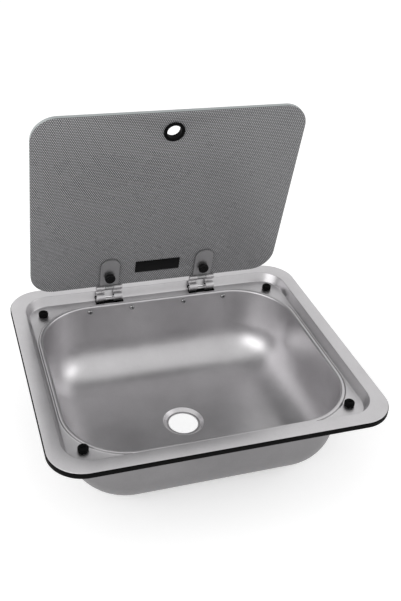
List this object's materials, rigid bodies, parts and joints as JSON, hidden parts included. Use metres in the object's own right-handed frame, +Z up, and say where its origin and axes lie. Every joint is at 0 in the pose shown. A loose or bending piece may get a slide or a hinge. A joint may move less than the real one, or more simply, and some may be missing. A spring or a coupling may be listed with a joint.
{
  "type": "caravan sink with glass lid",
  "caption": "Pressed steel drop-in sink bowl with a recessed ledge and a hinged, printed glass lid that stands open behind it.",
  "frame": {"origin": "centre of the worktop plane on which the flange seal lies", "axes": "+X to the right along the hinge line, +Y from the front to the hinges, +Z up out of the worktop"},
  "size_m": [0.4216, 0.3716, 0.4151],
  "materials": {
    "satin_steel": "satin pressed stainless steel",
    "hinge_steel": "bright brushed stainless steel",
    "printed_glass": "toughened glass with a dense grey dot print",
    "black_rubber": "matt black rubber",
    "black_plastic": "black moulded plastic"
  },
  "bodies": {
    "sink": {"sink_bowl": "satin_steel", "flange_seal": "black_rubber", "lid_buffer_rear_left": "black_rubber", "lid_buffer_rear_right": "black_rubber", "lid_buffer_front_left": "black_rubber", "lid_buffer_front_right": "black_rubber", "hinge_cup_left": "black_plastic", "hinge_pin_left": "hinge_steel", "cup_screw_left_outer": "hinge_steel", "cup_screw_left_inner": "hinge_steel", "hinge_cup_right": "black_plastic", "hinge_pin_right": "hinge_steel", "cup_screw_right_outer": "hinge_steel", "cup_screw_right_inner": "hinge_steel"},
    "lid": {"glass_lid": "printed_glass", "finger_ring": "black_rubber", "label_plate": "black_plastic", "hinge_arm_left_outer": "hinge_steel", "hinge_arm_left_inner": "hinge_steel", "hinge_rod_left": "hinge_steel", "hinge_leaf_left": "hinge_steel", "leaf_gasket_left": "black_rubber", "hinge_knob_left": "black_plastic", "hinge_cap_left": "black_plastic", "cap_washer_left": "black_rubber", "hinge_arm_right_outer": "hinge_steel", "hinge_arm_right_inner": "hinge_steel", "hinge_rod_right": "hinge_steel", "hinge_leaf_right": "hinge_steel", "leaf_gasket_right": "black_rubber", "hinge_knob_right": "black_plastic", "hinge_cap_right": "black_plastic", "cap_washer_right": "black_rubber"}
  },
  "joints": [
    {"name": "lid_hinge", "type": "hinge", "parent": "sink", "child": "lid", "pos_m": [0, 0.1615, -0.0047], "axis": [1, 0, 0], "range_deg": [-3, 78]}
  ]
}
